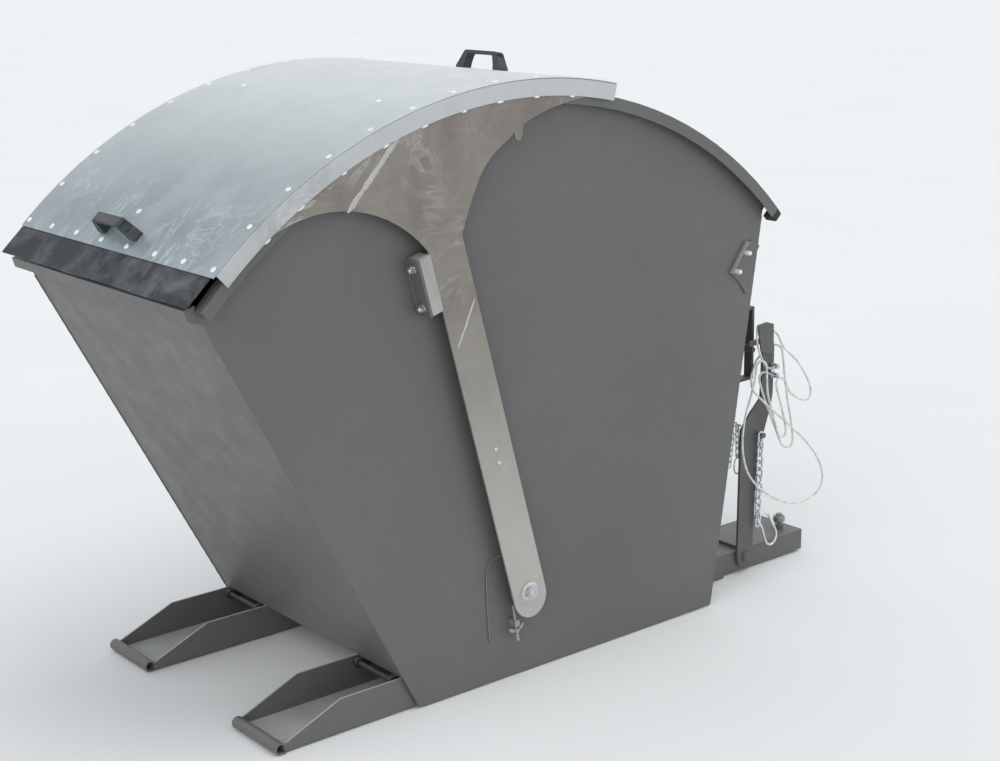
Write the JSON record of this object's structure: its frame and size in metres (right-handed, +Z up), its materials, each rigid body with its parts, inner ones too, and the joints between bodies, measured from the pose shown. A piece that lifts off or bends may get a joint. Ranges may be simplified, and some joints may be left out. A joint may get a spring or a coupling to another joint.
{
  "type": "tipping bin",
  "caption": "Self-tipping container for a forklift: sloped steel hopper hinged on a base with fork pockets, curved swing-over lid on side arms, and a rear latch lever.",
  "frame": {"origin": "on the ground under the centre of the bounding box of everything but the pull rope", "axes": "+Z up, +Y to the rear, where the forks enter and the latch lever stands, -Y to the front, where the load leaves, +X to the side that the picture shows"},
  "size_m": [0.908, 2.1257, 1.4906],
  "materials": {
    "painted_steel": "grey semi-gloss paint, light mottling and edge wear",
    "dark_painted_steel": "darker grey paint",
    "galvanized_sheet": "hot-dip galvanized sheet with fine spangle and wipe marks",
    "galvanized_plate": "dull galvanized plate, warm grey",
    "zinc_fastener": "zinc-plated, slightly bluish",
    "zinc_chain": "bright zinc-plated chain",
    "bronze_bush": "plain bronze",
    "rubber_flap": "dark rubber, dusty",
    "stop_buffer": "light grey hard rubber block",
    "black_plastic": "black moulded plastic, satin",
    "coated_rope": "off-white plastic coating"
  },
  "bodies": {
    "base": {"runner_near": "painted_steel", "runner_far": "painted_steel", "tip_tube_near": "painted_steel", "tip_tube_far": "painted_steel", "hinge_pin_near": "zinc_fastener", "hinge_pin_far": "zinc_fastener", "cross_beam": "painted_steel", "fork_pocket_near": "painted_steel", "fork_pocket_far": "painted_steel", "fork_sleeve_near": "painted_steel", "fork_sleeve_far": "painted_steel", "rear_strap": "painted_steel", "lever_bolt": "zinc_fastener"},
    "lock_near": {"lock_screw_near": "zinc_fastener"},
    "lock_far": {"lock_screw_far": "zinc_fastener"},
    "bin": {"side_plate_near": "painted_steel", "side_plate_far": "painted_steel", "front_wall": "painted_steel", "front_lip": "painted_steel", "rear_wall": "painted_steel", "floor_sheet": "painted_steel", "rear_cover": "painted_steel", "rim_angle_near": "painted_steel", "rim_angle_far": "painted_steel", "front_stop_bracket_near": "painted_steel", "front_stop_bracket_far": "painted_steel", "front_stop_buffer_near": "stop_buffer", "front_stop_buffer_far": "stop_buffer", "rear_stop_bracket_near": "painted_steel", "rear_stop_bracket_far": "painted_steel", "rear_stop_buffer_near": "stop_buffer", "rear_stop_buffer_far": "stop_buffer", "pivot_boss_near": "dark_painted_steel", "pivot_boss_far": "dark_painted_steel", "pivot_bolt_near": "zinc_fastener", "pivot_bolt_far": "zinc_fastener", "hinge_lug_near": "dark_painted_steel", "hinge_lug_far": "dark_painted_steel", "striker": "painted_steel", "helper_rod_near": "zinc_fastener", "helper_rod_far": "zinc_fastener"},
    "lid": {"lid_sheet": "galvanized_sheet", "lid_edge_angle_near": "galvanized_sheet", "lid_edge_angle_far": "galvanized_sheet", "lid_arm_near": "galvanized_plate", "lid_arm_far": "galvanized_plate", "pivot_bush_near": "bronze_bush", "pivot_bush_far": "bronze_bush", "lid_front_bar": "galvanized_sheet", "lid_rear_bar": "galvanized_sheet", "lid_mid_bar": "galvanized_sheet", "lid_flap": "rubber_flap", "handle_front": "black_plastic", "handle_top": "black_plastic"},
    "lever": {"latch_lever": "painted_steel", "lever_paddle": "painted_steel", "rope_bolt": "zinc_fastener", "pull_rope": "coated_rope"},
    "chain": {"safety_chain": "zinc_chain"}
  },
  "joints": [
    {"name": "tip", "type": "hinge", "parent": "base", "child": "bin", "pos_m": [0, -0.51225, 0.075], "axis": [1, 0, 0], "range_deg": [0, 61.5]},
    {"name": "lid_swing", "type": "hinge", "parent": "bin", "child": "lid", "pos_m": [0, -0.14345, 0.227], "axis": [-1, 0, 0], "range_deg": [0, 48]},
    {"name": "lever_tilt", "type": "hinge", "parent": "base", "child": "lever", "pos_m": [0.284, 0.79755, 0.046], "axis": [-1, 0, 0], "range_deg": [0, 14]},
    {"name": "chain_swing", "type": "hinge", "parent": "lever", "child": "chain", "pos_m": [0.3, 0.82955, 0.4035], "axis": [1, 0, 0], "range_deg": [-20, 20]},
    {"name": "lock_near_lift", "type": "slide", "parent": "base", "child": "lock_near", "axis": [0, 0, 1], "range_m": [0, 0.016]},
    {"name": "lock_far_lift", "type": "slide", "parent": "base", "child": "lock_far", "axis": [0, 0, 1], "range_m": [0, 0.016]}
  ],
  "couplings": [
    {"joint": "lever_tilt", "follows": "tip", "ratio": 0.2276}
  ]
}
